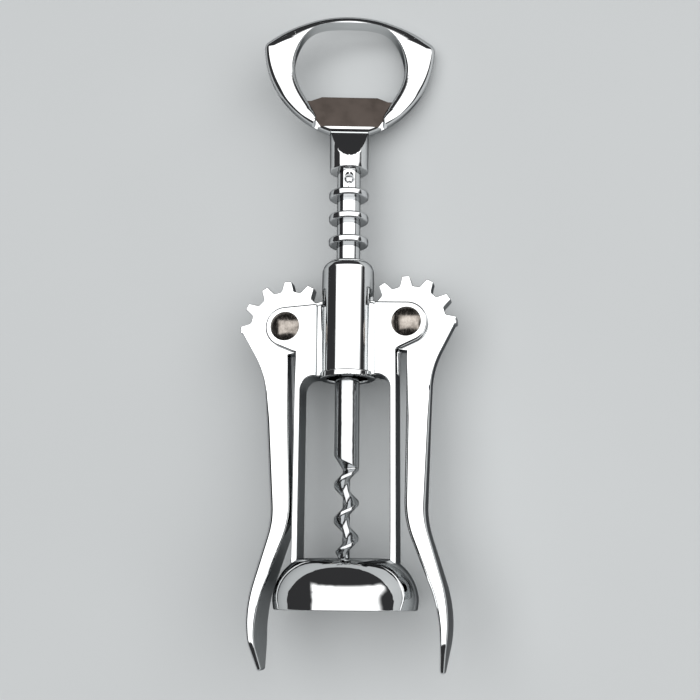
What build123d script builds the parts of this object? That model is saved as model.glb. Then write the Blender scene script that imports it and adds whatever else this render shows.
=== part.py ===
"""Wing corkscrew: a cast frame, two geared levers, a ringed rack and a spindle with an opener head.

The corkscrew lies on its back. X runs across the levers, Y runs up the long axis from the bell to
the opener head, and Z points out of the front face. The origin is the centre of the bell's mouth.
"""

from build123d import *

import math
import os

# Bell, a domed cup that sits on the bottle's mouth
bell_height = 12.6
bell_crown = 3.0
bell_radius = 18.65
bell_belly_height = 2.4
bell_foot_inset = 0.3
bell_wall = 3.45
crown_flat_inset = 6.25
crown_shoulder_inset = 1.55
crown_shoulder_drop = 4.7

# Rails and the window between bell and yoke
window_height = 47.4
window_corner = 3.6
rail_inset = 5.05
rail_width = 1.6
rail_seat = 1.8
frame_depth = 8.0

# Yoke, with the ears that carry the levers
pivot_rise = 13.8
ear_radius = 5.5
ear_foot_angle = 30.0
rail_shoulder_rise = 6.6
yoke_shoulder_rise = 19.8
yoke_groove_gap = 0.8
web_depth = 5.6

# Sleeve that guides the rack
sleeve_wall = 1.55
sleeve_length = 31.5
sleeve_drop = 0.6
sleeve_chamfer = 0.7
sleeve_chamfer_height = 1.9
bead_height = 1.7
bead_rim = 0.5
bead_round = 0.4

# Rack of plain rings, and the gears that climb it
ring_pitch = 6.7
ring_count = 7
ring_radius = 5.4
ring_width = 2.0
ring_round = 0.6
core_radius = 3.2
rack_tail = 2.2
pitch_line_radius = 3.6
ring_lift = 0.2
teeth_per_turn = 12
tooth_count = 7
tooth_addendum = 0.2
tooth_dedendum = 2.5
tooth_tip_width = 1.9
tooth_root_width = 3.4
tooth_round = 0.35
valley_round = 0.7
gear_thickness = 4.0

# Levers, drawn closed beside the rails and then opened by their rest angles
left_lever_open = 0.0
right_lever_open = 1.8
hub_radius = 7.4
arm_gap = 0.35
arm_lean = 2.05
arm_width = 5.25
arm_flare = 6.4
flare_drop = 12.3
waist_rise = 9.6
belly_gap = 4.3
handle_width = 2.35
handle_lead = 1.3
belly_drop = 2.0
tip_inset = 1.7
tip_width = 1.1
tip_step = 0.4
tip_reach = 15.4
waist_bend = 24.0
flare_bend = 22.0
handle_bend = 34.0
arm_depth = 8.6
handle_depth = 13.6
tip_depth = 4.0
tip_taper = 7.0
hub_ease = 40.0
waist_ease = 60.0
handle_ease = 30.0
tip_ease = 7.0

# Pivot rivets and their washers
rivet_radius = 2.25
rivet_head_radius = 3.95
rivet_head_height = 1.7
rivet_tail_radius = 3.2
rivet_tail_height = 0.9
washer_radius = 4.2
washer_thickness = 0.6

# Worm: a shank, a threaded point and a spindle that runs up through the rack
shank_radius = 3.25
shank_length = 30.75
worm_pitch = 9.05
worm_core_radius = 0.95
thread_root_width = 5.0
thread_crest_width = 0.8
thread_sink = 0.35
thread_relief = 0.06
shank_cone = 2.6
shank_foot_lean = 26.0
point_length = 5.2
point_radius = 0.25
worm_phase_turns = 3.0
worm_top_crest_drop = 4.15
thread_run_in = 6.5
spindle_radius = 1.5
spindle_reach = 9.0

# Opener head with its lip and neck
head_turn = 13.0
head_length = 35.5
head_half_width = 24.2
head_corner_drop = 8.9
head_side_half_width = 18.5
head_side_rise = 9.6
head_depth = 4.6
head_edge_round = 1.5
head_corner_round = 2.6
head_foot_round = 2.0
crown_bar = 2.3
corner_bar = 8.7
opening_drop = 11.4
shoulder_bar = 12.1
opening_shoulder_drop = 3.2
hip_bar = 5.3
opening_hip_drop = 21.4
heel_bar = 9.0
opening_heel_rise = 2.3
lip_height = 9.9
lip_half_width = 7.8
lip_corner_run = 3.1
lip_corner_drop = 1.2
lip_depth = 2.0
rim_bar = 1.4
neck_length = 11.3
neck_top_width = 10.8
neck_diameter = 10.6
neck_sink = 0.7
neck_flat_rise = 3.2
neck_flat_depth = 2.6
neck_edge_round = 0.35
spigot_length = 5.9
spigot_sink = 1.4
pin_radius = 0.9
pin_head_radius = 1.4
pin_head_height = 0.85
pin_seat_wall = 1.15

# Clearances
ring_clearance = 0.05
hinge_clearance = 0.05
seat_clearance = 0.02
slot_clearance = 0.1
tooth_clearance = 0.4
spindle_clearance = 0.05
guide_clearance = 0.4
point_clearance = 0.4
end_clearance = 0.1

# Stations along the long axis, worked out from the sizes above
ceiling_y = bell_height - bell_crown
yoke_y = bell_height + window_height
pivot_y = yoke_y + pivot_rise
sleeve_y = yoke_y - sleeve_drop
sleeve_top_y = sleeve_y + sleeve_length
first_ring_y = pivot_y - ring_pitch / 2 + ring_lift
last_ring_y = first_ring_y + (ring_count - 1) * ring_pitch
rack_bottom_y = first_ring_y - rack_tail
rack_top_y = last_ring_y + ring_width / 2
shank_top_y = rack_bottom_y - end_clearance
shank_bottom_y = shank_top_y - shank_length
point_y = ceiling_y + point_clearance
spigot_y = rack_top_y + end_clearance
neck_y = spigot_y + spigot_length
head_y = neck_y + neck_length
head_top_y = head_y + head_length
pin_y = spigot_y + spigot_length / 2
pin_seat = spindle_radius + pin_seat_wall

# Cross sizes, worked out the same way
half_depth = frame_depth / 2
bell_bore_radius = bell_radius - bell_wall
rail_outer = bell_radius - rail_inset
window_half_width = rail_outer - rail_width
sleeve_bore = ring_radius + ring_clearance
sleeve_radius = sleeve_bore + sleeve_wall
pitch_radius = ring_pitch * teeth_per_turn / (2 * math.pi)
pivot_x = pitch_radius + pitch_line_radius
tip_radius = pitch_radius + tooth_addendum
root_radius = pitch_radius - tooth_dedendum
slot_half = gear_thickness / 2 + slot_clearance
tooth_middle_radius = (tip_radius + root_radius) / 2
tooth_step = 360 / teeth_per_turn

# Stations of the levers, counted down from the pivot, which follow the bell that they fold beside
waist_drop = pivot_y - bell_height - waist_rise
handle_drop = pivot_y + belly_drop
lever_length = pivot_y + tip_reach


def polar(radius, degrees):
    """A point of the gear's plane at a radius and an angle from the pivot."""
    angle = math.radians(degrees)
    return radius * math.cos(angle), radius * math.sin(angle)


# Frame: bell, rails, yoke and sleeve in one casting
with BuildPart() as frame:
    # Bell, turned about the long axis with its crown pierced for the worm
    with BuildSketch(Plane.XY):
        with BuildLine():
            crown = (bell_radius - crown_flat_inset, bell_height)
            shoulder = (bell_radius - crown_shoulder_inset, bell_height - crown_shoulder_drop)
            belly = (bell_radius, bell_belly_height)
            foot = (bell_radius - bell_foot_inset, 0)
            Polyline((0, bell_height), crown)
            ThreePointArc(crown, shoulder, belly)
            Polyline(belly, foot, (bell_bore_radius, 0), (bell_bore_radius, ceiling_y))
            Polyline((bell_bore_radius, ceiling_y), (0, ceiling_y), (0, bell_height))
        make_face()
    revolve(axis=Axis.Y)

    # Yoke and rails, cut from one outline
    with BuildSketch(Plane.XY):
        with BuildLine():
            ear_top = (pivot_x, pivot_y + ear_radius)
            ear_side = (pivot_x + ear_radius, pivot_y)
            foot_x, foot_y = polar(ear_radius, ear_foot_angle - 90)
            ear_foot = (pivot_x + foot_x, pivot_y + foot_y)
            Polyline((0, yoke_y + yoke_shoulder_rise), (sleeve_radius, yoke_y + yoke_shoulder_rise), ear_top)
            ThreePointArc(ear_top, ear_side, ear_foot)
            rail_head = (rail_outer, yoke_y + rail_shoulder_rise)
            Polyline(ear_foot, rail_head, (rail_outer, bell_height - rail_seat))
            Polyline((rail_outer, bell_height - rail_seat), (0, bell_height - rail_seat))
            Line((0, bell_height - rail_seat), (0, yoke_y + yoke_shoulder_rise))
        make_face()
        mirror(about=Plane.YZ)
        with Locations((0, (bell_height + yoke_y - rail_seat) / 2)):
            Rectangle(2 * window_half_width, window_height + rail_seat, mode=Mode.SUBTRACT)
    extrude(amount=half_depth, both=True)
    fillet(
        frame.edges().filter_by(Axis.Z).filter_by_position(
            Axis.Y, yoke_y - rail_seat, yoke_y + rail_seat
        ),
        window_corner,
    )

    # Grooves that stand the ears' plates apart from the sleeve, front and back
    with BuildSketch(Plane.XY):
        with Locations((0, yoke_y + yoke_shoulder_rise / 2)):
            Rectangle(2 * (sleeve_radius + yoke_groove_gap), 2 * yoke_shoulder_rise)
    extrude(amount=half_depth, both=True, mode=Mode.SUBTRACT)
    with BuildSketch(Plane.XY):
        with Locations((0, yoke_y + yoke_shoulder_rise / 2)):
            Rectangle(2 * (sleeve_radius + yoke_groove_gap), yoke_shoulder_rise)
    extrude(amount=web_depth / 2, both=True)

    # Sleeve with a bead at its lower end
    with BuildSketch(Plane.XY):
        with BuildLine():
            Polyline(
                (0, sleeve_y),
                (sleeve_radius + bead_rim, sleeve_y),
                (sleeve_radius + bead_rim, sleeve_y + bead_height),
                (sleeve_radius, sleeve_y + bead_height),
                (sleeve_radius, sleeve_top_y - sleeve_chamfer_height),
                (sleeve_radius - sleeve_chamfer, sleeve_top_y),
                (0, sleeve_top_y),
                close=True,
            )
        make_face()
        fillet(vertices().group_by(Axis.X)[-1], bead_round)
    revolve(axis=Axis.Y)

    # Slots for the gears, then the bores
    with BuildSketch(Plane.XY):
        with Locations((-pivot_x, pivot_y), (pivot_x, pivot_y)):
            Circle(tip_radius + tooth_clearance)
    extrude(amount=slot_half, both=True, mode=Mode.SUBTRACT)
    with BuildSketch(Plane.XZ.offset(-sleeve_top_y)):
        Circle(sleeve_bore)
    extrude(amount=sleeve_length, mode=Mode.SUBTRACT)
    with BuildSketch(Plane.XZ.offset(-bell_height)):
        Circle(shank_radius + guide_clearance)
    extrude(amount=bell_crown, mode=Mode.SUBTRACT)
    with BuildSketch(Plane.XY):
        with Locations((-pivot_x, pivot_y), (pivot_x, pivot_y)):
            Circle(rivet_radius + seat_clearance)
    extrude(amount=frame_depth, both=True, mode=Mode.SUBTRACT)
frame.part.label = "frame"


def reach(corner):
    """Distance of a sketch's corner from its plane's origin."""
    return math.hypot(corner.X, corner.Y)


def lever_outline(side):
    """Arm and handle of one lever in the pivot's plane, drawn closed beside its rail."""
    rail_side = rail_outer + arm_gap - pivot_x
    flare_x = rail_side + arm_lean + arm_flare
    waist_x = rail_side + arm_width
    belly_x = bell_radius + belly_gap - pivot_x
    tip_x = belly_x - tip_inset
    outer = [
        polar(tip_radius, 0),
        (flare_x, -flare_drop),
        (waist_x, -waist_drop),
        (belly_x + handle_width, -handle_drop + handle_lead),
        (tip_x + tip_width, -lever_length),
    ]
    inner = [
        (tip_x, -lever_length + tip_step),
        (belly_x, -handle_drop),
        (rail_side, -waist_drop),
        (rail_side + arm_lean, -hub_radius),
    ]
    return [(side * x, y) for x, y in outer], [(side * x, y) for x, y in inner]


def lever(side, rest_open, name):
    """One geared lever, opened from the closed pose by its rest angle."""
    turn = math.radians(side * rest_open)
    pivot_plane = Plane(
        origin=(side * pivot_x, pivot_y, 0), x_dir=(math.cos(turn), math.sin(turn), 0), z_dir=(0, 0, 1)
    )
    outer, inner = lever_outline(side)
    with BuildPart() as blank:
        # Side view: hub, gear and arm
        with BuildSketch(pivot_plane):
            with BuildLine():
                gear = [(0, 0)]
                for index in range(tooth_count):
                    angle = 90 + side * (90 - index * tooth_step)
                    tip = math.degrees(tooth_tip_width / 2 / tip_radius)
                    root = math.degrees(tooth_root_width / 2 / root_radius)
                    gear += [
                        polar(root_radius, angle + side * root),
                        polar(tip_radius, angle + side * tip),
                        polar(tip_radius, angle - side * tip),
                        polar(root_radius, angle - side * root),
                    ]
                Polyline(*gear, close=True)
            make_face()
            fillet([corner for corner in vertices() if reach(corner) > tooth_middle_radius], tooth_round)
            fillet([corner for corner in vertices() if 0 < reach(corner) < tooth_middle_radius], valley_round)
            Circle(hub_radius)
            with BuildLine():
                FilletPolyline(*outer, radius=(flare_bend, waist_bend, handle_bend))
                Line(outer[-1], inner[0])
                FilletPolyline(*inner, radius=(handle_bend, waist_bend))
                Polyline(inner[-1], (0, 0), outer[0])
            make_face()
            Circle(rivet_radius + hinge_clearance, mode=Mode.SUBTRACT)
        extrude(amount=handle_depth / 2, both=True)

        # Edge view: thin at the gear and deep at the handle
        with BuildSketch(Plane(origin=pivot_plane.origin, x_dir=pivot_plane.y_dir, z_dir=pivot_plane.x_dir)):
            with BuildLine():
                profile = [
                    (tip_radius + tooth_clearance, gear_thickness / 2),
                    (-hub_radius, gear_thickness / 2),
                    (-waist_drop, arm_depth / 2),
                    (-handle_drop, handle_depth / 2),
                    (-lever_length + tip_taper, handle_depth / 2),
                    (-lever_length, tip_depth / 2),
                ]
                back = [(x, -y) for x, y in profile]
                eases = (hub_ease, waist_ease, handle_ease, tip_ease)
                FilletPolyline(*profile, radius=eases)
                Line(profile[-1], back[-1])
                FilletPolyline(*back, radius=eases)
                Line(back[0], profile[0])
            make_face()
        extrude(amount=lever_length, both=True, mode=Mode.INTERSECT)
    blank.part.label = name
    return blank.part


left_lever = lever(-1, left_lever_open, "left_lever")
right_lever = lever(1, right_lever_open, "right_lever")


def rivet(side, name):
    """A domed rivet whose tail is spread over its washer at the back."""
    back = half_depth + washer_thickness
    dome_radius = (rivet_head_radius**2 + rivet_head_height**2) / (2 * rivet_head_height)
    axis_plane = Plane(origin=(side * pivot_x, pivot_y, 0), x_dir=(1, 0, 0), z_dir=(0, -1, 0))
    with BuildPart() as stud:
        with BuildSketch(axis_plane):
            with BuildLine():
                Line((0, half_depth + rivet_head_height), (0, -back - rivet_tail_height))
                Line((0, -back - rivet_tail_height), (rivet_radius, -back - rivet_tail_height))
                Line((rivet_radius, -back - rivet_tail_height), (rivet_tail_radius, -back))
                Polyline((rivet_tail_radius, -back), (rivet_radius, -back), (rivet_radius, half_depth))
                Line((rivet_radius, half_depth), (rivet_head_radius, half_depth))
                RadiusArc((rivet_head_radius, half_depth), (0, half_depth + rivet_head_height), -dome_radius)
            make_face()
        revolve(axis=Axis(axis_plane.origin, (0, 0, 1)))
    stud.part.label = name
    return stud.part


def washer(side, name):
    """A flat washer between the ear's back and the rivet's tail."""
    with BuildPart() as ring:
        with BuildSketch(Plane.XY.offset(-half_depth)):
            with Locations((side * pivot_x, pivot_y)):
                Circle(washer_radius)
                Circle(rivet_radius + seat_clearance, mode=Mode.SUBTRACT)
        extrude(amount=-washer_thickness)
    ring.part.label = name
    return ring.part


left_rivet = rivet(-1, "left_rivet")
right_rivet = rivet(1, "right_rivet")
left_washer = washer(-1, "left_rivet_washer")
right_washer = washer(1, "right_rivet_washer")

# Rack: plain rings on a tube, so that it may face any way in the sleeve
with BuildPart() as rack:
    with BuildSketch(Plane.XY):
        with Locations((core_radius / 2, (rack_bottom_y + rack_top_y) / 2)):
            Rectangle(core_radius, rack_top_y - rack_bottom_y)
        for index in range(ring_count):
            with Locations((ring_radius / 2, first_ring_y + index * ring_pitch)):
                Rectangle(ring_radius, ring_width)
        fillet(vertices().group_by(Axis.X)[-1], ring_round)
        bore = spindle_radius + spindle_clearance
        with Locations((bore / 2, (rack_bottom_y + rack_top_y) / 2)):
            Rectangle(bore, rack_top_y - rack_bottom_y, mode=Mode.SUBTRACT)
    revolve(axis=Axis.Y)
rack.part.label = "rack"

head_angle = math.radians(head_turn)
head_plane = Plane(
    origin=(0, 0, 0),
    x_dir=(math.cos(head_angle), 0, -math.sin(head_angle)),
    z_dir=(math.sin(head_angle), 0, math.cos(head_angle)),
)

# Worm: spindle, shank and a right-hand thread that ends in a point
with BuildPart() as worm:
    with BuildLine():
        thread_height = shank_radius - thread_relief - worm_core_radius
        crest_y = shank_bottom_y - worm_top_crest_drop - worm_phase_turns * worm_pitch
        thread_length = shank_bottom_y + thread_run_in - worm_top_crest_drop - crest_y
        helix = Helix(worm_pitch, thread_length, worm_core_radius, (0, crest_y, 0), (0, 1, 0))
    with BuildSketch(Plane(origin=helix @ 0, x_dir=(0, 0, 1), z_dir=(1, 0, 0))):
        with BuildLine():
            Polyline(
                (-thread_sink, -thread_root_width / 2),
                (thread_height, -thread_crest_width / 2),
                (thread_height, thread_crest_width / 2),
                (-thread_sink, thread_root_width / 2),
                close=True,
            )
        make_face()
    sweep(path=helix, is_frenet=True)
    with BuildSketch(Plane.XZ.offset(thread_root_width - crest_y)):
        Circle(worm_core_radius)
    extrude(amount=-(thread_length + 2 * thread_root_width))
    # The shank's foot leans to one side and narrows to the core, where the thread's groove runs out
    lean = math.radians(shank_foot_lean)
    lean_x, lean_z = (math.cos(lean), -math.sin(lean), 0), (-math.sin(lean), -math.cos(lean), 0)
    foot = Plane(origin=(0, shank_bottom_y, 0), x_dir=lean_x, z_dir=lean_z)
    with BuildSketch(foot):
        Ellipse(shank_radius / math.cos(lean), shank_radius)
    with BuildSketch(Plane(origin=(0, shank_bottom_y - shank_cone, 0), x_dir=lean_x, z_dir=lean_z)):
        Ellipse(worm_core_radius / math.cos(lean), worm_core_radius)
    loft()
    with BuildSketch(foot):
        Ellipse(shank_radius / math.cos(lean), shank_radius)
    extrude(amount=shank_length + 2 * shank_radius, dir=(0, 1, 0))
    with BuildSketch(Plane.XY):
        with BuildLine():
            Polyline(
                (0, point_y),
                (point_radius, point_y),
                (2 * shank_radius - point_radius, point_y + 2 * point_length),
                (2 * shank_radius - point_radius, shank_top_y),
                (0, shank_top_y),
                close=True,
            )
        make_face()
    revolve(axis=Axis.Y, mode=Mode.INTERSECT)
    with BuildSketch(Plane.XZ.offset(-shank_top_y)):
        Circle(spindle_radius)
    extrude(amount=-(spigot_y + spindle_reach - shank_top_y))
    with BuildSketch(head_plane):
        with Locations((0, pin_y)):
            Circle(pin_radius + seat_clearance)
    extrude(amount=2 * core_radius, both=True, mode=Mode.SUBTRACT)
worm.part.label = "worm"

# Neck: a round bar that widens towards the ring, with sloping flats at its front and back
with BuildPart() as neck:
    with BuildSketch(Plane(origin=(0, neck_y, 0), x_dir=head_plane.x_dir, z_dir=(0, 1, 0))):
        Circle(neck_diameter / 2)
    with BuildSketch(Plane(origin=(0, head_y + neck_sink, 0), x_dir=head_plane.x_dir, z_dir=(0, 1, 0))):
        Ellipse(neck_top_width / 2, neck_diameter / 2)
    loft()
    fillet(neck.edges().group_by(Axis.Y)[0], neck_edge_round)
    with BuildSketch(Plane(origin=(0, 0, 0), x_dir=(0, 1, 0), z_dir=head_plane.x_dir)):
        with BuildLine():
            Polyline(
                (neck_y, neck_diameter / 2),
                (neck_y + neck_flat_rise, neck_diameter / 2),
                (head_y + neck_sink, neck_flat_depth / 2),
                (head_y + neck_sink, -neck_flat_depth / 2),
                (neck_y + neck_flat_rise, -neck_diameter / 2),
                (neck_y, -neck_diameter / 2),
                close=True,
            )
        make_face()
    extrude(amount=neck_top_width, both=True, mode=Mode.INTERSECT)

# Opener head: ring, lip, neck and the spigot that takes the spindle
with BuildPart() as opener_head:
    with BuildSketch(head_plane):
        with BuildLine():
            corner = (head_half_width, head_top_y - head_corner_drop)
            bottom = (neck_top_width / 2, head_y)
            TangentArc((0, head_top_y), corner, tangent=(1, 0))
            ThreePointArc(corner, (head_side_half_width, head_y + head_side_rise), bottom)
            Polyline(bottom, (0, head_y), (0, head_top_y))
        make_face()
        mirror(about=Plane.YZ)
        feet = vertices().group_by(Axis.Y)[0].sort_by(Axis.X)
        fillet([feet[0], feet[-1]], head_foot_round)
        fillet(vertices().group_by(Axis.X)[0] + vertices().group_by(Axis.X)[-1], head_corner_round)
    extrude(amount=head_depth / 2, both=True)
    head_faces = opener_head.faces().filter_by(Axis((0, 0, 0), head_plane.z_dir))
    fillet(head_faces.edges(), head_edge_round)

    # Opening, sunk from the front as deep as the lip at its back
    with BuildSketch(head_plane.offset(lip_depth - head_depth / 2)) as opening:
        with BuildLine():
            opening_top_y = head_top_y - crown_bar
            Spline(
                (0, opening_top_y),
                (head_half_width - shoulder_bar, opening_top_y - opening_shoulder_drop),
                (head_half_width - corner_bar, opening_top_y - opening_drop),
                (head_side_half_width - hip_bar, opening_top_y - opening_hip_drop),
                (head_side_half_width - heel_bar, head_y + rim_bar + opening_heel_rise),
                (0, head_y + rim_bar),
                tangents=((1, 0), (-1, 0)),
            )
            Line((0, head_y + rim_bar), (0, opening_top_y))
        make_face()
        mirror(about=Plane.YZ)
    extrude(amount=head_depth, mode=Mode.SUBTRACT)

    # The rest of the opening, right through, which leaves the lip that hooks under a crown cap
    with BuildSketch(head_plane.offset(-head_depth)):
        add(opening.sketch_local)
        with BuildLine():
            lip_y = head_y + rim_bar + lip_height
            lip_corner = (lip_half_width + lip_corner_run, lip_y - lip_corner_drop)
            Polyline((0, lip_y), (lip_half_width, lip_y), lip_corner, (head_half_width, lip_corner[1]))
            Polyline((head_half_width, lip_corner[1]), (head_half_width, head_y), (0, head_y), (0, lip_y))
        lip_half = make_face(mode=Mode.PRIVATE)
        add(lip_half + lip_half.mirror(Plane.YZ), mode=Mode.SUBTRACT)
    extrude(amount=2 * head_depth, mode=Mode.SUBTRACT)

    # Neck and the spigot below it
    add(neck.part)
    with BuildSketch(Plane.XZ.offset(-spigot_y)):
        Circle(core_radius)
    extrude(amount=-(spigot_length + spigot_sink))
    with BuildSketch(Plane.XZ.offset(-spigot_y)):
        Circle(spindle_radius + seat_clearance)
    extrude(amount=-(spindle_reach + end_clearance), mode=Mode.SUBTRACT)
    with BuildSketch(head_plane):
        with Locations((0, pin_y)):
            Circle(pin_radius + seat_clearance)
    extrude(amount=2 * core_radius, both=True, mode=Mode.SUBTRACT)
    for facing in (1, -1):
        with BuildSketch(head_plane.offset(facing * pin_seat)):
            with Locations((0, pin_y)):
                Circle(pin_head_radius + seat_clearance)
        extrude(amount=facing * core_radius, mode=Mode.SUBTRACT)
opener_head.part.label = "opener_head"

# Cross pin through spigot and spindle, riveted to a dome at each end
with BuildPart() as cross_pin:
    pin_plane = Plane(origin=(0, pin_y, 0), x_dir=(0, 1, 0), z_dir=head_plane.x_dir)
    with BuildSketch(pin_plane):
        with BuildLine():
            dome_radius = (pin_head_radius**2 + pin_head_height**2) / (2 * pin_head_height)
            Polyline((0, 0), (pin_radius, 0), (pin_radius, pin_seat), (pin_head_radius, pin_seat))
            RadiusArc((pin_head_radius, pin_seat), (0, pin_seat + pin_head_height), -dome_radius)
            Line((0, pin_seat + pin_head_height), (0, 0))
        make_face()
    revolve(axis=Axis(pin_plane.origin, head_plane.z_dir))
    mirror(about=head_plane)
cross_pin.part.label = "cross_pin"

os.makedirs("parts", exist_ok=True)
pieces = [frame.part, left_lever, right_lever, left_rivet, right_rivet, left_washer, right_washer]
pieces += [rack.part, worm.part, opener_head.part, cross_pin.part]
for piece in pieces:
    export_step(piece, f"parts/{piece.label}.step")
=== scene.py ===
"""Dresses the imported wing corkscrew: polished castings, a ringed rack, a worm, rivets and a plain studio."""

import logging
import math
from collections.abc import Sequence
from dataclasses import dataclass
from enum import Enum

import bmesh
import bpy
from mathutils import Matrix, Vector
from mathutils.kdtree import KDTree

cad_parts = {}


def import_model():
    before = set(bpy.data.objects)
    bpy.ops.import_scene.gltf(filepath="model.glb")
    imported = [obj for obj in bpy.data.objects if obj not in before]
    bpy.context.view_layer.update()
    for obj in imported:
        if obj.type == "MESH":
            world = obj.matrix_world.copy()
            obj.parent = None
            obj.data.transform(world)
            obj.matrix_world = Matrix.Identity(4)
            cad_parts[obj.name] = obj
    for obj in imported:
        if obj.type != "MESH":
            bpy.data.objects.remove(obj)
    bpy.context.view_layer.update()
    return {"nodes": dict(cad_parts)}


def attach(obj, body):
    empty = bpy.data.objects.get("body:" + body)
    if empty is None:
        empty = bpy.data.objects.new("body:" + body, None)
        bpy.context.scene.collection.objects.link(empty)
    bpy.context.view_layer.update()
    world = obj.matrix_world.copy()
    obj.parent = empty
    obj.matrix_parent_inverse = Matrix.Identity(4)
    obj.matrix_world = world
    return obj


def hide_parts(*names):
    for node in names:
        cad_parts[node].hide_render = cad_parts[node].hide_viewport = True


LOG = logging.getLogger("corkscrew")
MM = 0.001
UP = Vector((0.0, 1.0, 0.0))
OUT = Vector((0.0, 0.0, 1.0))
SAME_PLACE = 1e-6
NO_LENGTH = 1e-7
SIDES = (-1, 1)
TURNED_SMOOTH_DEGREES = 40.0

Point = tuple[float, float]
Settings = dict[str, object]
MaterialParts = tuple[bpy.types.Material, bpy.types.NodeTree, bpy.types.Node, bpy.types.NodeSocket]


class Slot(Enum):
    """The record's material slots."""

    CASTING = "chrome_casting"
    LEVER = "chrome_lever"
    RACK = "chrome_rack"
    HEAD = "chrome_head"
    WORM = "worm_steel"
    NICKEL = "nickel_rivet"


class Body(Enum):
    """The bodies that the pieces ride on."""

    FRAME = "frame"
    LEFT = "left_lever"
    RIGHT = "right_lever"
    RACK = "rack"
    SPINDLE = "spindle"


def linear(code: str) -> tuple[float, float, float, float]:
    """Turns an sRGB hex colour into a linear one.

    Args:
        code: six hex digits after a hash sign.

    Returns:
        Linear red, green and blue, with full alpha.
    """
    parts = [int(code[i : i + 2], 16) / 255 for i in (1, 3, 5)]
    red, green, blue = [p / 12.92 if p <= 0.04045 else ((p + 0.055) / 1.055) ** 2.4 for p in parts]
    return red, green, blue, 1.0


def add_node(tree: bpy.types.NodeTree, kind: str, settings: Settings, links: Settings) -> bpy.types.Node:
    """Adds one node with its settings and its inputs.

    Args:
        tree: the node tree that gets the node.
        kind: the node's type name.
        settings: the node's own properties by name.
        links: its inputs by name or number, each a socket to link or a value to set.

    Returns:
        The new node.
    """
    node = tree.nodes.new(kind)
    for name, value in settings.items():
        setattr(node, name, value)
    for key, value in links.items():
        if isinstance(value, bpy.types.NodeSocket):
            tree.links.new(value, node.inputs[key])
        else:
            node.inputs[key].default_value = value
    return node


def per_metre(size_mm: float) -> float:
    """A texture scale whose features are about size_mm apart."""
    return 1.0 / (size_mm * MM)


def new_material(name: str) -> MaterialParts:
    """Starts a material with a Principled shader and Object coordinates.

    Args:
        name: the material's name.

    Returns:
        The material, its tree, its shader and the coordinates' socket.
    """
    material = bpy.data.materials.new(name)
    material.use_nodes = True
    tree = material.node_tree
    shader = tree.nodes["Principled BSDF"]
    coordinates = add_node(tree, "ShaderNodeTexCoord", {}, {})
    return material, tree, shader, coordinates.outputs["Object"]


@dataclass(frozen=True)
class PlatedFinish:
    """Chrome plate over a polished casting: a mirror with a slow ripple, faint smears and buffing lines."""

    name: str
    bright: str
    dull: str
    roughness: float
    smear_roughness: float
    ripple_mm: float
    ripple_height_mm: float
    smear_mm: float
    buff_mm: float
    edge_tint: str
    smear_detail: float = 3.0
    smear_grain: float = 0.55
    smear_range: Point = (0.48, 0.72)
    buff_detail: float = 2.0
    buff_stretch: float = 0.06
    buff_height_mm: float = 0.002
    ripple_detail: float = 1.0

    def material(self) -> bpy.types.Material:
        """Builds the plate's material."""
        material, tree, shader, place = new_material(self.name)
        # Handling leaves faint smears, which dull the mirror in soft patches.
        smear = add_node(tree, "ShaderNodeTexNoise", {}, {
            "Vector": place, "Scale": per_metre(self.smear_mm),
            "Detail": self.smear_detail, "Roughness": self.smear_grain})
        faint, strong = self.smear_range
        patch = add_node(tree, "ShaderNodeMapRange", {}, {
            "Value": smear.outputs["Fac"], "From Min": faint, "From Max": strong,
            "To Min": self.roughness, "To Max": self.smear_roughness})
        tint = add_node(tree, "ShaderNodeMix", {"data_type": "RGBA"}, {
            "Factor": smear.outputs["Fac"], "A": linear(self.bright), "B": linear(self.dull)})
        # Buffing lines are finer than a pixel, so they are drawn as coarse as they need to show.
        lines = add_node(tree, "ShaderNodeMapping", {}, {
            "Vector": place, "Scale": (1.0, self.buff_stretch, 1.0)})
        buff = add_node(tree, "ShaderNodeTexNoise", {}, {
            "Vector": lines.outputs["Vector"], "Scale": per_metre(self.buff_mm), "Detail": self.buff_detail})
        # The casting under the plate isn't quite flat, so reflections waver slowly.
        ripple = add_node(tree, "ShaderNodeTexNoise", {}, {
            "Vector": place, "Scale": per_metre(self.ripple_mm), "Detail": self.ripple_detail})
        wave = add_node(tree, "ShaderNodeBump", {}, {
            "Height": ripple.outputs["Fac"], "Strength": 1.0, "Distance": self.ripple_height_mm * MM})
        fine = add_node(tree, "ShaderNodeBump", {}, {
            "Height": buff.outputs["Fac"], "Strength": 1.0, "Distance": self.buff_height_mm * MM,
            "Normal": wave.outputs["Normal"]})
        shader.inputs["Metallic"].default_value = 1.0
        # The plate darkens towards its outline, where it is seen at a glancing angle.
        shader.inputs["Specular Tint"].default_value = linear(self.edge_tint)
        tree.links.new(tint.outputs["Result"], shader.inputs["Base Color"])
        tree.links.new(patch.outputs["Result"], shader.inputs["Roughness"])
        tree.links.new(fine.outputs["Normal"], shader.inputs["Normal"])
        return material


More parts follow.
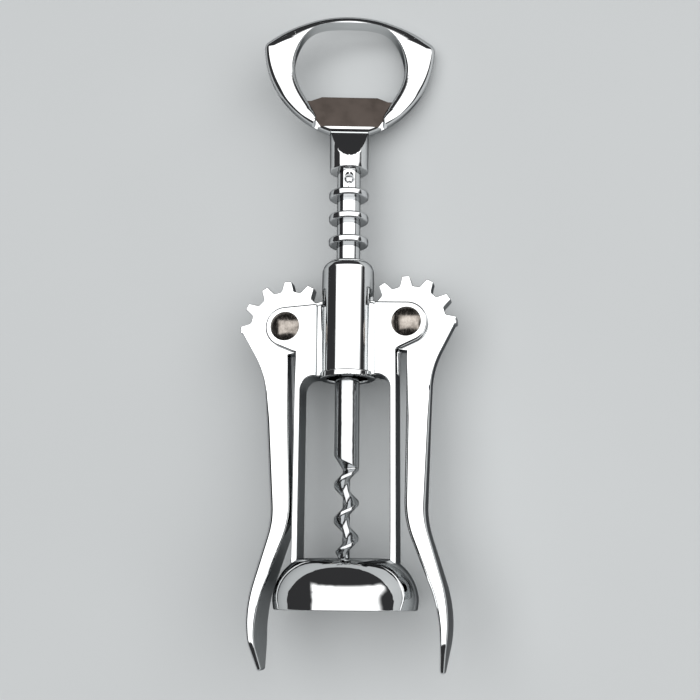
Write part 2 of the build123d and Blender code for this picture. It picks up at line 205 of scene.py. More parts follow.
@dataclass(frozen=True)
class WornNickelFinish:
    """Nickel plate that has been hammered and rubbed: brownish, scratched and softer than the chrome."""

    name: str
    bright: str
    tarnish: str
    roughness: float
    worn_roughness: float
    dent_mm: float
    dent_height_mm: float
    scratch_mm: float
    stain_detail: float = 4.0
    stain_grain: float = 0.6
    stain_range: Point = (0.35, 0.7)
    scratch_degrees: float = 28.0
    scratch_stretch: float = 0.08
    scratch_detail: float = 3.0
    scratch_range: Point = (0.4, 0.7)
    scratch_strength: float = 0.6
    scratch_height_mm: float = 0.004

    def material(self) -> bpy.types.Material:
        """Builds the nickel's material."""
        material, tree, shader, place = new_material(self.name)
        # Tarnish gathers in the dents, so the dome is blotched brown and grey.
        stain = add_node(tree, "ShaderNodeTexNoise", {}, {
            "Vector": place, "Scale": per_metre(self.dent_mm),
            "Detail": self.stain_detail, "Roughness": self.stain_grain})
        clean, stained = self.stain_range
        shade = add_node(tree, "ShaderNodeMapRange", {}, {
            "Value": stain.outputs["Fac"], "From Min": clean, "From Max": stained})
        tint = add_node(tree, "ShaderNodeMix", {"data_type": "RGBA"}, {
            "Factor": shade.outputs["Result"], "A": linear(self.bright), "B": linear(self.tarnish)})
        # Scratches lie mostly one way across the dome.
        slanted = add_node(tree, "ShaderNodeMapping", {}, {
            "Vector": place, "Rotation": (0.0, 0.0, math.radians(self.scratch_degrees)),
            "Scale": (1.0, self.scratch_stretch, 1.0)})
        scratch = add_node(tree, "ShaderNodeTexNoise", {}, {
            "Vector": slanted.outputs["Vector"], "Scale": per_metre(self.scratch_mm),
            "Detail": self.scratch_detail})
        shallow, deep = self.scratch_range
        rough = add_node(tree, "ShaderNodeMapRange", {}, {
            "Value": scratch.outputs["Fac"], "From Min": shallow, "From Max": deep,
            "To Min": self.roughness, "To Max": self.worn_roughness})
        dent = add_node(tree, "ShaderNodeBump", {}, {
            "Height": stain.outputs["Fac"], "Strength": 1.0, "Distance": self.dent_height_mm * MM})
        line = add_node(tree, "ShaderNodeBump", {}, {
            "Height": scratch.outputs["Fac"], "Strength": self.scratch_strength,
            "Distance": self.scratch_height_mm * MM, "Normal": dent.outputs["Normal"]})
        shader.inputs["Metallic"].default_value = 1.0
        tree.links.new(tint.outputs["Result"], shader.inputs["Base Color"])
        tree.links.new(rough.outputs["Result"], shader.inputs["Roughness"])
        tree.links.new(line.outputs["Normal"], shader.inputs["Normal"])
        return material


@dataclass(frozen=True)
class PaintedBoardFinish:
    """A painted board, plain and pale, with a faint unevenness from the roller."""

    name: str
    pale: str
    shade: str
    roughness: float
    roller_mm: float
    roller_detail: float = 2.0

    def material(self) -> bpy.types.Material:
        """Builds the board's material."""
        material, tree, shader, place = new_material(self.name)
        cloud = add_node(tree, "ShaderNodeTexNoise", {}, {
            "Vector": place, "Scale": per_metre(self.roller_mm), "Detail": self.roller_detail})
        tint = add_node(tree, "ShaderNodeMix", {"data_type": "RGBA"}, {
            "Factor": cloud.outputs["Fac"], "A": linear(self.pale), "B": linear(self.shade)})
        shader.inputs["Roughness"].default_value = self.roughness
        tree.links.new(tint.outputs["Result"], shader.inputs["Base Color"])
        return material


# The castings' bright mirror, with slow waves in its reflections.
POLISHED = PlatedFinish(
    name="chrome_plate_polished", bright="#EDEEEE", dull="#DEE0E1", roughness=0.03, smear_roughness=0.10,
    ripple_mm=9.0, ripple_height_mm=0.02, smear_mm=14.0, buff_mm=0.5, edge_tint="#5A5C5E")
# The rack's plate, a little greyer and truer, with a dark outline.
TURNED = PlatedFinish(
    name="chrome_plate_turned", bright="#E8E9EA", dull="#D6D8D9", roughness=0.05, smear_roughness=0.12,
    ripple_mm=5.0, ripple_height_mm=0.006, smear_mm=9.0, buff_mm=0.4, edge_tint="#3C3E40")
# The pin's hammered end, which scatters the light into one bright spot.
PEENED = PlatedFinish(
    name="chrome_plate_peened", bright="#E8E9EA", dull="#D2D4D6", roughness=0.26, smear_roughness=0.36,
    ripple_mm=1.5, ripple_height_mm=0.01, smear_mm=2.0, buff_mm=0.4, edge_tint="#5A5C5E")
# The worm's plate on steel, painted darker than the castings as a painted reflection of the dim room.
WORM_PLATE_PAINTED_DARK = PlatedFinish(
    name="worm_plate_painted_dark_reflection", bright="#C9CBCC", dull="#AEB0B2", roughness=0.06, smear_roughness=0.16,
    ripple_mm=4.0, ripple_height_mm=0.01, smear_mm=6.0, buff_mm=0.4, edge_tint="#3C3E40")
# The lip's satin plate, whose dark brown colour is a painted reflection.
LIP_PAINTED_REFLECTION = PlatedFinish(
    name="chrome_lip_painted_reflection", bright="#4C4541", dull="#3E3834", roughness=0.30, smear_roughness=0.44,
    ripple_mm=3.0, ripple_height_mm=0.02, smear_mm=5.0, buff_mm=0.5, edge_tint="#5A5C5E")
# The rivets' scratched, brownish domes.
NICKEL = WornNickelFinish(
    name="nickel_plate_worn", bright="#A8A19A", tarnish="#5E5852", roughness=0.16, worn_roughness=0.34,
    dent_mm=2.6, dent_height_mm=0.010, scratch_mm=0.35)
# The pale ground that the metal mirrors along its outlines.
BOARD = PaintedBoardFinish(
    name="painted_board", pale="#C0C3C4", shade="#BBBEBF", roughness=0.62, roller_mm=90.0)


def new_object(name: str, mesh: bpy.types.Mesh) -> bpy.types.Object:
    """Puts a mesh into the scene as an object at the origin."""
    piece = bpy.data.objects.new(name, mesh)
    bpy.context.scene.collection.objects.link(piece)
    return piece


def baked(piece: bpy.types.Object) -> bpy.types.Object:
    """Turns a piece and its modifiers into a plain mesh.

    Args:
        piece: an object whose modifiers are live.

    Returns:
        The same object, with its result as its own mesh and no modifier left.
    """
    graph = bpy.context.evaluated_depsgraph_get()
    mesh = bpy.data.meshes.new_from_object(piece.evaluated_get(graph), depsgraph=graph)
    piece.modifiers.clear()
    old = piece.data
    piece.data = mesh
    bpy.data.meshes.remove(old)
    mesh.name = piece.name
    return piece


def smooth(piece: bpy.types.Object, degrees: float) -> None:
    """Shades a piece smooth, apart from edges sharper than the given angle."""
    piece.data.shade_smooth()
    piece.data.set_sharp_from_angle(angle=math.radians(degrees))


def turned(
    name: str, profile: Sequence[Point], centre: Vector, along: Vector, steps: int
) -> bpy.types.Object:
    """Turns a closed profile about an axis, as on a lathe.

    Args:
        name: the piece's name.
        profile: radius and height pairs in millimetres, round the section.
        centre: the axis's foot in metres.
        along: the axis's direction.
        steps: facets in a full turn.

    Returns:
        The turned piece, closed, with its faces outwards.
    """
    across = along.orthogonal().normalized()
    beside = along.cross(across)
    work = bmesh.new()
    rings = []
    for step in range(steps):
        angle = 2 * math.pi * step / steps
        out = across * math.cos(angle) + beside * math.sin(angle)
        places = [centre + (out * radius + along * height) * MM for radius, height in profile]
        rings.append([work.verts.new(place) for place in places])
    count = len(profile)
    for step in range(steps):
        here, there = rings[step], rings[(step + 1) % steps]
        for index in range(count):
            after = (index + 1) % count
            work.faces.new((here[index], there[index], there[after], here[after]))
    bmesh.ops.remove_doubles(work, verts=work.verts, dist=NO_LENGTH)
    bmesh.ops.dissolve_degenerate(work, edges=work.edges, dist=NO_LENGTH)
    bmesh.ops.recalc_face_normals(work, faces=work.faces)
    mesh = bpy.data.meshes.new(name)
    work.to_mesh(mesh)
    work.free()
    return new_object(name, mesh)


def rounded(corners: Sequence[tuple[float, float, float]], steps: int) -> list[Point]:
    """Rounds the corners of a closed profile.

    Args:
        corners: radius, height and corner round of each corner in millimetres.
        steps: points on each rounded corner.

    Returns:
        The profile's points.
    """
    points: list[Point] = []
    for index, (x, y, size) in enumerate(corners):
        here = Vector((x, y))
        if size <= 0:
            points.append((x, y))
            continue
        before = (Vector(corners[index - 1][:2]) - here).normalized()
        after = (Vector(corners[(index + 1) % len(corners)][:2]) - here).normalized()
        half = before.angle(after) / 2
        reach = size / math.tan(half)
        middle = here + (before + after).normalized() * (size / math.sin(half))
        start = here + before * reach - middle
        sweep = start.angle_signed(here + after * reach - middle)
        for step in range(steps + 1):
            spoke = start.copy()
            spoke.rotate(Matrix.Rotation(-sweep * step / steps, 2))
            points.append(tuple(middle + spoke))
    return points


def looked_up(table: Sequence[Point], height: float) -> float:
    """Reads a table of heights and sizes, in straight lines between its rows.

    Args:
        table: pairs of height and size, from the lowest up.
        height: the height that is asked for.

    Returns:
        The size at that height, and the nearest row's beyond the table.
    """
    low, size = table[0]
    for high, next_size in table:
        if height < high:
            share = max(height - low, 0.0) / (high - low) if high > low else 0.0
            return size + share * (next_size - size)
        low, size = high, next_size
    return size


def search_tree(places: Sequence[Vector]) -> KDTree:
    """Makes a search tree of places, for finding the nearest."""
    tree = KDTree(len(places))
    for index, place in enumerate(places):
        tree.insert(place, index)
    tree.balance()
    return tree


def roll(width: float, height: float, gap: float) -> float:
    """How far a rounded edge has fallen at a gap from its foot, on a quarter of an ellipse.

    Args:
        width: the roll's width.
        height: the roll's whole fall.
        gap: the distance from the roll's foot.

    Returns:
        The fall at that gap.
    """
    if gap >= width:
        return 0.0
    return height * (1.0 - math.sqrt(1.0 - (1.0 - gap / width) ** 2))


def repeat_tree() -> bpy.types.NodeTree:
    """Makes the node tree that repeats a piece along a line.

    Returns:
        A tree with inputs Geometry, Count, Offset and Finish.
    """
    tree = bpy.data.node_groups.new("repeat_along_line", "GeometryNodeTree")
    face = tree.interface
    face.new_socket("Geometry", in_out="INPUT", socket_type="NodeSocketGeometry")
    face.new_socket("Count", in_out="INPUT", socket_type="NodeSocketInt")
    face.new_socket("Offset", in_out="INPUT", socket_type="NodeSocketVector")
    face.new_socket("Finish", in_out="INPUT", socket_type="NodeSocketMaterial")
    face.new_socket("Geometry", in_out="OUTPUT", socket_type="NodeSocketGeometry")
    given = add_node(tree, "NodeGroupInput", {}, {})
    line = add_node(tree, "GeometryNodeMeshLine", {"mode": "OFFSET"}, {
        "Count": given.outputs["Count"], "Offset": given.outputs["Offset"]})
    copies = add_node(tree, "GeometryNodeInstanceOnPoints", {}, {
        "Points": line.outputs["Mesh"], "Instance": given.outputs["Geometry"]})
    real = add_node(tree, "GeometryNodeRealizeInstances", {}, {"Geometry": copies.outputs["Instances"]})
    dressed = add_node(tree, "GeometryNodeSetMaterial", {}, {
        "Geometry": real.outputs["Geometry"], "Material": given.outputs["Finish"]})
    add_node(tree, "NodeGroupOutput", {}, {"Geometry": dressed.outputs["Geometry"]})
    return tree


@dataclass
class Workshop:
    """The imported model, the finishes and the repeating tree that the pieces share."""

    nodes: dict[str, bpy.types.Object]
    finishes: dict[str, bpy.types.Material]
    repeater: bpy.types.NodeTree

    def repeat(self, piece: bpy.types.Object, count: int, offset: Vector, finish: str) -> bpy.types.Object:
        """Repeats a piece along a line and makes the result a plain mesh.

        Args:
            piece: the first copy, in its place.
            count: how many copies there are.
            offset: the step from one copy to the next, in metres.
            finish: the finish's name.

        Returns:
            The piece with all its copies.
        """
        modifier = piece.modifiers.new("repeat", "NODES")
        modifier.node_group = self.repeater
        values = {"Count": count, "Offset": offset, "Finish": self.finishes[finish]}
        for item in self.repeater.interface.items_tree:
            if item.in_out == "INPUT" and item.name in values:
                modifier[item.identifier] = values[item.name]
        return baked(piece)

    def publish(self, piece: bpy.types.Object, body: Body, slot: Slot, *nodes: str) -> bpy.types.Object:
        """Lets a finished piece ride on its body in place of its CAD nodes.

        Args:
            piece: the finished piece.
            body: the body that carries it.
            slot: not used.
            nodes: the CAD nodes that it stands for.

        Returns:
            The same piece.
        """
        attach(piece, body.value)
        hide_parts(*nodes)
        LOG.info("%s rides on %s with %d faces", piece.name, body.value, len(piece.data.polygons))
        return piece


@dataclass
class Casting:
    """One casting, copied from its CAD node with its outer edges softened as by polishing."""

    node: str
    name: str
    body: Body
    slot: Slot
    finish: str
    rounds: tuple[Point, ...] = ((0.0, 0.1),)
    edge_steps: int = 5
    split_mm: float = 1.5
    edge_degrees: float = 38.0
    smooth_degrees: float = 32.0
    flat_degrees: float = 0.5
    flat_faces: bool = False

    def widest(self) -> float:
        """The widest edge round in millimetres."""
        return max(size for _, size in self.rounds)

    def round_at(self, place: Vector) -> float:
        """Finds the edge round at a place, from the heights and rounds in the table.

        Args:
            place: a place on the casting, in metres.

        Returns:
            The round in millimetres.
        """
        return looked_up(self.rounds, place.y / MM)

    def copied(self, shop: Workshop) -> bmesh.types.BMesh:
        """Copies the node's mesh with its doubles merged and its flat faces whole."""
        work = bmesh.new()
        work.from_mesh(shop.nodes[self.node].data)
        bmesh.ops.remove_doubles(work, verts=work.verts, dist=SAME_PLACE)
        bmesh.ops.dissolve_degenerate(work, edges=work.edges, dist=NO_LENGTH)
        bmesh.ops.dissolve_limit(
            work, angle_limit=math.radians(self.flat_degrees), use_dissolve_boundaries=False,
            verts=work.verts, edges=work.edges)
        return work

    def sharp(self, work: bmesh.types.BMesh) -> list[bmesh.types.BMEdge]:
        """Lists the outer edges that polishing rounds."""
        limit = math.radians(self.edge_degrees)
        outer = [edge for edge in work.edges if edge.is_manifold and edge.is_convex]
        return [edge for edge in outer if edge.calc_face_angle() > limit]

    def build(self, shop: Workshop) -> bpy.types.Object:
        """Copies the node's mesh and rounds its outer edges.

        Args:
            shop: the workshop with the CAD nodes.

        Returns:
            The casting as a plain mesh.
        """
        work = self.copied(shop)
        # Long edges are split, so that a round can grow along them.
        for edge in self.sharp(work):
            for left in range(math.ceil(edge.calc_length() / (self.split_mm * MM)), 1, -1):
                other, _ = bmesh.utils.edge_split(edge, edge.verts[0], 1 / left)
                edge = max(edge, other, key=lambda part: part.calc_length())
        weight = work.edges.layers.float.new("bevel_weight_edge")
        for edge in self.sharp(work):
            middle = (edge.verts[0].co + edge.verts[1].co) / 2
            edge[weight] = self.round_at(middle) / self.widest()
        mesh = bpy.data.meshes.new(self.name)
        work.to_mesh(mesh)
        work.free()
        piece = new_object(self.name, mesh)
        bevel = piece.modifiers.new("polished_edges", "BEVEL")
        bevel.limit_method = "WEIGHT"
        bevel.width = self.widest() * MM
        bevel.segments = self.edge_steps
        bevel.use_clamp_overlap = False
        bevel.loop_slide = False
        bevel.miter_outer = "MITER_ARC"
        piece = baked(piece)
        smooth(piece, self.smooth_degrees)
        if self.flat_faces:
            piece.modifiers.new("flat_faces", "WEIGHTED_NORMAL").keep_sharp = True
            piece = baked(piece)
        return piece

    def dress(self, shop: Workshop, piece: bpy.types.Object) -> bpy.types.Object:
        """Gives the casting its finish and its body.

        Args:
            shop: the workshop with the finishes.
            piece: the built casting.

        Returns:
            The published piece.
        """
        piece.data.materials.clear()
        piece.data.materials.append(shop.finishes[self.finish])
        return shop.publish(piece, self.body, self.slot, self.node)


@dataclass
class FrameCasting(Casting):
    """The frame: crisp at the bell and the rails, and softer at the yoke's ears."""

    rounds: tuple[Point, ...] = ((8.0, 0.28), (20.0, 0.4), (58.0, 0.4), (66.0, 0.6))
    flat_faces: bool = True


@dataclass
class Lever(Casting):
    """A lever: crisp at the gear, softly rounded along the arm, and thinner rounds at the handle's tip."""

    rounds: tuple[Point, ...] = ((-15.4, 0.5), (4.0, 1.0), (22.0, 1.25), (48.0, 1.25), (63.0, 0.26))
    flat_faces: bool = True


@dataclass
class OpenerHead(Casting):
    """The opener head, whose lip gets a satin plate with a painted dark reflection."""

    turn_degrees: float = 13.0
    lip_front_mm: float = -0.3
    lip_low_mm: float = 130.0
    lip_high_mm: float = 141.0
    lip_slack_mm: float = 0.1
    lip_corner_mm: Point = (9.42, 133.4)
    lip_foot_mm: Point = (7.4, 130.6)
    front_mm: float = 2.3
    slack_mm: float = 0.05
    rounds: tuple[Point, ...] = ((132.0, 0.0), (136.0, 1.9), (147.0, 1.9), (160.0, 0.0))
    outer_rounds: tuple[Point, ...] = (
        (136.5, 0.0), (141.0, 2.2), (153.0, 2.2), (157.5, 3.6), (163.0, 2.0), (166.0, 1.5))
    outer_fall_mm: float = 2.2
    ring_low_mm: float = 132.0
    ring_middle_mm: float = 148.0
    rim_angle: float = 1.2
    upright: float = 0.1
    front_cosine: float = 0.999
    lip_cosine: float = 0.9
    smooth_degrees: float = 24.0
    rim_step_mm: float = 0.05
    cell_mm: float = 0.22
    cuts: int = 8

    def facing(self) -> Vector:
        """The way that the head's front looks."""
        turn = math.radians(self.turn_degrees)
        return Vector((math.sin(turn), 0.0, math.cos(turn)))

    def is_front(self, face: bmesh.types.BMFace) -> bool:
        """Whether a face lies in the ring's flat front."""
        facing = self.facing()
        level = face.verts[0].co.dot(facing) / MM > self.front_mm - self.slack_mm
        return level and face.normal.dot(facing) > self.front_cosine

    def on_lip(self, centre: Vector, normal: Vector) -> bool:
        """Whether a facet with this centre and normal lies in the lip's flat front."""
        facing = self.facing()
        level = abs(centre.dot(facing) / MM - self.lip_front_mm) < self.lip_slack_mm
        inside = self.lip_low_mm < centre.y / MM < self.lip_high_mm
        return level and inside and normal.dot(facing) > self.lip_cosine

    def corner_cut(self, side: int) -> tuple[Vector, Vector]:
        """Finds the plane that cuts a lower corner off the lip.

        Args:
            side: -1 for the left corner and 1 for the right one.

        Returns:
            A place on the plane, and its normal away from the lip.
        """
        facing = self.facing()
        across = UP.cross(facing)
        (high_x, high_y), (low_x, low_y) = self.lip_corner_mm, self.lip_foot_mm
        place = (across * (side * high_x) + UP * high_y) * MM
        slant = across * (side * (low_x - high_x)) + UP * (low_y - high_y)
        return place, facing.cross(slant).normalized() * side

    def cut_lip(self, work: bmesh.types.BMesh) -> None:
        """Cuts the lip's front along the lines where its painted dark reflection ends."""
        for side in SIDES:
            place, normal = self.corner_cut(side)
            lip = [face for face in work.faces if self.on_lip(face.calc_center_median(), face.normal)]
            edges = list(dict.fromkeys(edge for face in lip for edge in face.edges))
            verts = list(dict.fromkeys(vert for face in lip for vert in face.verts))
            bmesh.ops.bisect_plane(work, geom=lip + edges + verts, plane_co=place, plane_no=normal)

    def is_painted_reflection(self, centre: Vector, normal: Vector) -> bool:
        """Whether a facet gets the lip's painted dark reflection: the lip's front within its two cut corners.
        """
        cuts = [self.corner_cut(side) for side in SIDES]
        return self.on_lip(centre, normal) and all((centre - place).dot(away) < 0 for place, away in cuts)

    def along(self, edge: bmesh.types.BMEdge) -> list[Vector]:
        """Places along an edge that are closer together than the facets will be."""
        count = 1 + int(edge.calc_length() / (self.rim_step_mm * MM))
        start, end = (vert.co for vert in edge.verts)
        return [start.lerp(end, step / count) for step in range(count + 1)]

    def flat(self, place: Vector) -> Vector:
        """Lays a place straight back into the head's middle plane."""
        facing = self.facing()
        return place - facing * place.dot(facing)

    def rim(self, work: bmesh.types.BMesh) -> KDTree:
        """Finds places along the opening's front edge, laid into the middle plane.

        Args:
            work: the head's mesh.

        Returns:
            A search tree of the places.
        """
        places = []
        for edge in work.edges:
            fronts = sorted(self.is_front(face) for face in edge.link_faces)
            if edge.is_convex and fronts == [False, True] and edge.calc_face_angle() > self.rim_angle:
                places += [self.flat(place) for place in self.along(edge)]
        return search_tree(places)

    def wall(self, work: bmesh.types.BMesh) -> KDTree:
        """Finds places along the ring's outer wall, laid into the middle plane.

        Args:
            work: the head's mesh.

        Returns:
            A search tree of the places.
        """
        facing = self.facing()
        middle = Vector((0.0, self.ring_middle_mm * MM, 0.0))
        places = []
        for face in work.faces:
            upright = abs(face.normal.dot(facing)) < self.upright
            if upright and face.normal.dot(face.calc_center_median() - middle) > 0:
                places += [self.flat(place) for edge in face.edges for place in self.along(edge)]
        return search_tree(places)

    def fall(self, place: Vector, rim: KDTree, wall: KDTree) -> float:
        """How far polishing has rolled the front down at a place.

        Args:
            place: a place on the head's front half, in metres.
            rim: the opening's front edge.
            wall: the ring's outer wall.

        Returns:
            The fall from the flat front in millimetres.
        """
        inner = self.round_at(place)
        outer = looked_up(self.outer_rounds, place.y / MM)
        inward = roll(inner, inner, rim.find(self.flat(place))[2] / MM)
        outward = roll(outer, min(outer, self.outer_fall_mm), wall.find(self.flat(place))[2] / MM)
        return max(inward, outward)

    def build(self, shop: Workshop) -> bpy.types.Object:
        """Copies the node's mesh and rolls the front down at the opening and the outline.

        Args:
            shop: the workshop with the CAD nodes.

        Returns:
            The head as a plain mesh.
        """
        work = self.copied(shop)
        self.cut_lip(work)
        rim = self.rim(work)
        wall = self.wall(work)
        outer_widest = max(size for _, size in self.outer_rounds)
        for _ in range(self.cuts):
            bmesh.ops.triangulate(work, faces=[face for face in work.faces if self.is_front(face)])
            wide = []
            for edge in work.edges:
                length = edge.calc_length()
                if length > self.cell_mm * MM and all(self.is_front(face) for face in edge.link_faces):
                    inner = min(rim.find(self.flat(vert.co))[2] for vert in edge.verts) - self.widest() * MM
                    outer = min(wall.find(self.flat(vert.co))[2] for vert in edge.verts) - outer_widest * MM
                    if min(inner, outer) < length:
                        wide.append(edge)
            bmesh.ops.subdivide_edges(work, edges=wide, cuts=1)
        facing = self.facing()
        drops = {}
        for vert in work.verts:
            depth = vert.co.dot(facing) / MM
            if depth > 0 and vert.co.y / MM > self.ring_low_mm:
                drops[vert] = depth - min(depth, self.front_mm - self.fall(vert.co, rim, wall))
        for vert, drop in drops.items():
            vert.co -= facing * (drop * MM)
        bmesh.ops.dissolve_degenerate(work, edges=work.edges, dist=NO_LENGTH)
        bmesh.ops.recalc_face_normals(work, faces=work.faces)
        mesh = bpy.data.meshes.new(self.name)
        work.to_mesh(mesh)
        work.free()
        piece = new_object(self.name, mesh)
        smooth(piece, self.smooth_degrees)
        return piece

    def dress(self, shop: Workshop, piece: bpy.types.Object) -> bpy.types.Object:
        """Gives the ring and neck the polished plate and the lip its satin one with a painted dark reflection.

        Args:
            shop: the workshop with the finishes.
            piece: the built head.

        Returns:
            The published piece.
        """
        piece.data.materials.clear()
        piece.data.materials.append(shop.finishes[self.finish])
        piece.data.materials.append(shop.finishes[LIP_PAINTED_REFLECTION.name])
        for face in piece.data.polygons:
            face.use_smooth = not self.on_lip(face.center, face.normal)
            # The lip's front gets the satin plate whose dark colour is a painted reflection.
            if self.is_painted_reflection(face.center, face.normal):
                face.material_index = 1
        return shop.publish(piece, self.body, self.slot, self.node)


@dataclass
class RingRack:
    """The ringed tube that the levers' teeth climb."""

    core_radius: float = 3.2
    bore_radius: float = 1.55
    bottom: float = 68.45
    top: float = 111.85
    ring_radius: float = 5.4
    ring_width: float = 2.0
    ring_round: float = 0.62
    ring_pitch: float = 6.7
    ring_count: int = 7
    first_ring: float = 70.65
    ring_seat: float = 0.3
    tube_round: float = 0.2
    tube_round_steps: int = 4
    ring_round_steps: int = 8
    steps: int = 72

    def build(self, shop: Workshop) -> list[bpy.types.Object]:
        """Turns the tube and one ring, and repeats the ring along the tube.

        Args:
            shop: the workshop with the repeating tree.

        Returns:
            The tube and the rings.
        """
        wall = rounded([
            (self.bore_radius, self.bottom, 0.0), (self.core_radius, self.bottom, self.tube_round),
            (self.core_radius, self.top, self.tube_round), (self.bore_radius, self.top, 0.0)],
            self.tube_round_steps)
        tube = turned("rack_tube", wall, Vector(), UP, self.steps)
        low = self.first_ring - self.ring_width / 2
        high = self.first_ring + self.ring_width / 2
        inner = self.core_radius - self.ring_seat
        band = rounded([
            (inner, low, 0.0), (self.ring_radius, low, self.ring_round),
            (self.ring_radius, high, self.ring_round), (inner, high, 0.0)], self.ring_round_steps)
        ring = turned("rack_rings", band, Vector(), UP, self.steps)
        rings = shop.repeat(ring, self.ring_count, UP * (self.ring_pitch * MM), TURNED.name)
        return [tube, rings]

    def dress(self, shop: Workshop, pieces: list[bpy.types.Object]) -> None:
        """Gives tube and rings the turned plate and lets them ride on the rack."""
        for piece in pieces:
            smooth(piece, TURNED_SMOOTH_DEGREES)
            piece.data.materials.clear()
            piece.data.materials.append(shop.finishes[TURNED.name])
            shop.publish(piece, Body.RACK, Slot.RACK, "rack")


@dataclass
class PivotRivets:
    """The two domed rivets and their washers at the back."""

    pivot_x: float = 16.39605
    pivot_y: float = 73.8
    front: float = 4.0
    head_radius: float = 3.95
    head_height: float = 1.7
    rim_height: float = 0.15
    shank_radius: float = 2.25
    tail_radius: float = 3.2
    tail_height: float = 0.9
    washer_radius: float = 4.2
    washer_bore: float = 2.27
    washer_thickness: float = 0.6
    washer_round: float = 0.15
    tail_round: float = 0.12
    tail_end_round: float = 0.35
    steps: int = 72
    dome_steps: int = 14
    round_steps: int = 4

    def head_profile(self) -> list[Point]:
        """The rivet's section, from the dome's top down to the spread tail."""
        back = -self.front - self.washer_thickness
        cap = self.head_height - self.rim_height
        sphere = (self.head_radius**2 + cap**2) / (2 * cap)
        dome: list[Point] = []
        for step in range(self.dome_steps + 1):
            radius = self.head_radius * step / self.dome_steps
            fall = sphere - math.sqrt(sphere**2 - radius**2)
            dome.append((radius, self.front + self.head_height - fall))
        low = back - self.tail_height
        shank = [(self.head_radius, self.front), (self.shank_radius, self.front), (self.shank_radius, back)]
        tail = rounded([
            (self.tail_radius, back, self.tail_round), (self.shank_radius, low, self.tail_end_round),
            (0.0, low, 0.0)], self.round_steps)
        return dome + shank + tail

    def build(self, shop: Workshop) -> list[bpy.types.Object]:
        """Turns one rivet and one washer on the left and repeats them on the right.

        Args:
            shop: the workshop with the repeating tree.

        Returns:
            The rivets and the washers.
        """
        foot = Vector((-self.pivot_x, self.pivot_y, 0.0)) * MM
        step = Vector((2 * self.pivot_x * MM, 0.0, 0.0))
        rivet = turned("pivot_rivets", self.head_profile(), foot, OUT, self.steps)
        low = -self.front - self.washer_thickness
        section = rounded([
            (self.washer_bore, low, 0.0), (self.washer_radius, low, self.washer_round),
            (self.washer_radius, -self.front, 0.0), (self.washer_bore, -self.front, 0.0)], self.round_steps)
        washer = turned("rivet_washers", section, foot, OUT, self.steps)
        return [shop.repeat(piece, len(SIDES), step, NICKEL.name) for piece in (rivet, washer)]

    def dress(self, shop: Workshop, pieces: list[bpy.types.Object]) -> None:
        """Gives rivets and washers the worn nickel and lets them ride on the frame."""
        stands_for = (("left_rivet", "right_rivet"), ("left_rivet_washer", "right_rivet_washer"))
        for piece, nodes in zip(pieces, stands_for):
            smooth(piece, TURNED_SMOOTH_DEGREES)
            piece.data.materials.clear()
            piece.data.materials.append(shop.finishes[NICKEL.name])
            shop.publish(piece, Body.FRAME, Slot.NICKEL, *nodes)


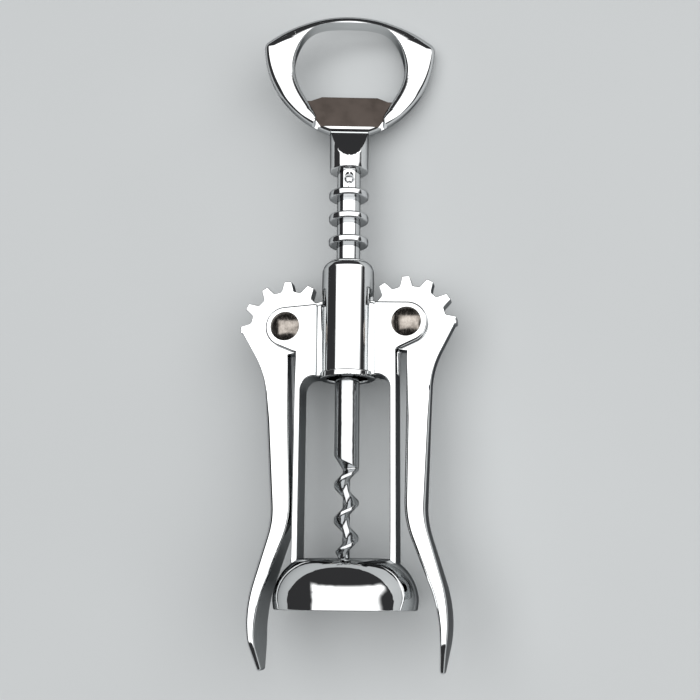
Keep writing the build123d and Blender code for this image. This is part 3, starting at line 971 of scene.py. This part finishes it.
@dataclass
class Studio:
    """The camera, the pale board and the soft light."""

    focal_px: float = 1080.0
    frame_px: float = 700.0
    sensor_mm: float = 36.0
    target: tuple[float, float, float] = (0.65, 67.5, 0.0)
    back: tuple[float, float, float] = (0.1947, -0.2156, 0.9568)
    distance: float = 288.4
    lean_degrees: float = 0.45
    sight: tuple[float, float] = (0.01, 20.0)
    bell_touch: tuple[float, float] = (2.4, -18.68)
    head_touch: tuple[float, float] = (155.0, -8.05)
    board_size: float = 3.0
    across: tuple[float, float, float] = (0.12, 0.72, 0.82)
    along: tuple[float, float, float] = (0.04, 0.46, 0.62)
    horizon: tuple[float, float] = (0.05, 0.20)
    strength: float = 2.1
    box_white: str = "#FFFFFF"
    room_grey: str = "#242425"

    def camera(self) -> bpy.types.Object:
        """Sets the camera at the photograph's viewing angle."""
        data = bpy.data.cameras.new("camera")
        data.sensor_width = self.sensor_mm
        data.lens = self.focal_px / self.frame_px * self.sensor_mm
        data.clip_start, data.clip_end = self.sight
        back = Vector(self.back).normalized()
        up = (UP - back * UP.dot(back)).normalized()
        right = up.cross(back)
        lean = math.radians(self.lean_degrees)
        up = up * math.cos(lean) - right * math.sin(lean)
        right = up.cross(back)
        camera = bpy.data.objects.new("camera", data)
        bpy.context.scene.collection.objects.link(camera)
        place = (Vector(self.target) + back * self.distance) * MM
        camera.matrix_world = Matrix.Translation(place) @ Matrix((right, up, back)).transposed().to_4x4()
        bpy.context.scene.camera = camera
        return camera

    def board(self, finish: bpy.types.Material) -> bpy.types.Object:
        """Lays the board under the bell and the opener head, which both touch it."""
        (bell_y, bell_z), (head_y, head_z) = self.bell_touch, self.head_touch
        slope = (head_z - bell_z) / (head_y - bell_y)
        half = self.board_size / 2
        corners = []
        for x, y in ((-half, -half), (half, -half), (half, half), (-half, half)):
            corners.append((x, y, bell_z * MM + slope * (y - bell_y * MM)))
        mesh = bpy.data.meshes.new("board")
        mesh.from_pydata(corners, [], [(0, 1, 2, 3)])
        mesh.materials.append(finish)
        board = new_object("board", mesh)
        return board

    def light(self) -> None:
        """Lights the scene with one large soft box overhead, in a dim room."""
        world = bpy.data.worlds.new("room")
        world.use_nodes = True
        tree = world.node_tree
        ground = tree.nodes["Background"]
        coordinates = add_node(tree, "ShaderNodeTexCoord", {}, {})
        parts = add_node(tree, "ShaderNodeSeparateXYZ", {}, {"Vector": coordinates.outputs["Generated"]})
        low, high = self.horizon
        lit = add_node(tree, "ShaderNodeMapRange", {"interpolation_type": "SMOOTHSTEP"}, {
            "Value": parts.outputs["Z"], "From Min": low, "From Max": high}).outputs["Result"]
        for axis, (centre, core, edge) in (("X", self.across), ("Y", self.along)):
            off = add_node(tree, "ShaderNodeMath", {"operation": "SUBTRACT"}, {
                0: parts.outputs[axis], 1: centre})
            away = add_node(tree, "ShaderNodeMath", {"operation": "ABSOLUTE"}, {0: off.outputs["Value"]})
            inside = add_node(tree, "ShaderNodeMapRange", {"interpolation_type": "SMOOTHSTEP"}, {
                "Value": away.outputs["Value"], "From Min": core, "From Max": edge,
                "To Min": 1.0, "To Max": 0.0})
            lit = add_node(tree, "ShaderNodeMath", {"operation": "MULTIPLY"}, {
                0: lit, 1: inside.outputs["Result"]}).outputs["Value"]
        glow = add_node(tree, "ShaderNodeMix", {"data_type": "RGBA"}, {
            "Factor": lit, "A": linear(self.room_grey), "B": linear(self.box_white)})
        tree.links.new(glow.outputs["Result"], ground.inputs["Color"])
        ground.inputs["Strength"].default_value = self.strength
        bpy.context.scene.world = world
        bpy.context.scene.view_settings.view_transform = "Standard"


def castings() -> list[Casting]:
    """Lists the pieces that keep their CAD shape with softened edges."""
    polished = POLISHED.name
    return [
        FrameCasting("frame", "frame_casting", Body.FRAME, Slot.CASTING, polished),
        Lever("left_lever", "left_lever_casting", Body.LEFT, Slot.LEVER, polished),
        Lever("right_lever", "right_lever_casting", Body.RIGHT, Slot.LEVER, polished),
        OpenerHead("opener_head", "opener_head_casting", Body.SPINDLE, Slot.HEAD, polished),
        Casting("worm", "worm_screw", Body.SPINDLE, Slot.WORM, WORM_PLATE_PAINTED_DARK.name),
        Casting("cross_pin", "cross_pin_rivet", Body.SPINDLE, Slot.NICKEL, PEENED.name),
    ]


def main() -> None:
    """Builds the pieces in order, dresses them and sets the studio round them."""
    logging.basicConfig(level=logging.INFO, format="%(name)s: %(message)s")
    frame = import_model()
    plates = (POLISHED, TURNED, PEENED, WORM_PLATE_PAINTED_DARK, LIP_PAINTED_REFLECTION, NICKEL)
    finishes = {finish.name: finish.material() for finish in plates}
    shop = Workshop(frame["nodes"], finishes, repeat_tree())
    for casting in castings():
        casting.dress(shop, casting.build(shop))
    rack = RingRack()
    rack.dress(shop, rack.build(shop))
    rivets = PivotRivets()
    rivets.dress(shop, rivets.build(shop))
    studio = Studio()
    studio.camera()
    studio.board(BOARD.material())
    studio.light()


if __name__ == "__main__":
    main()
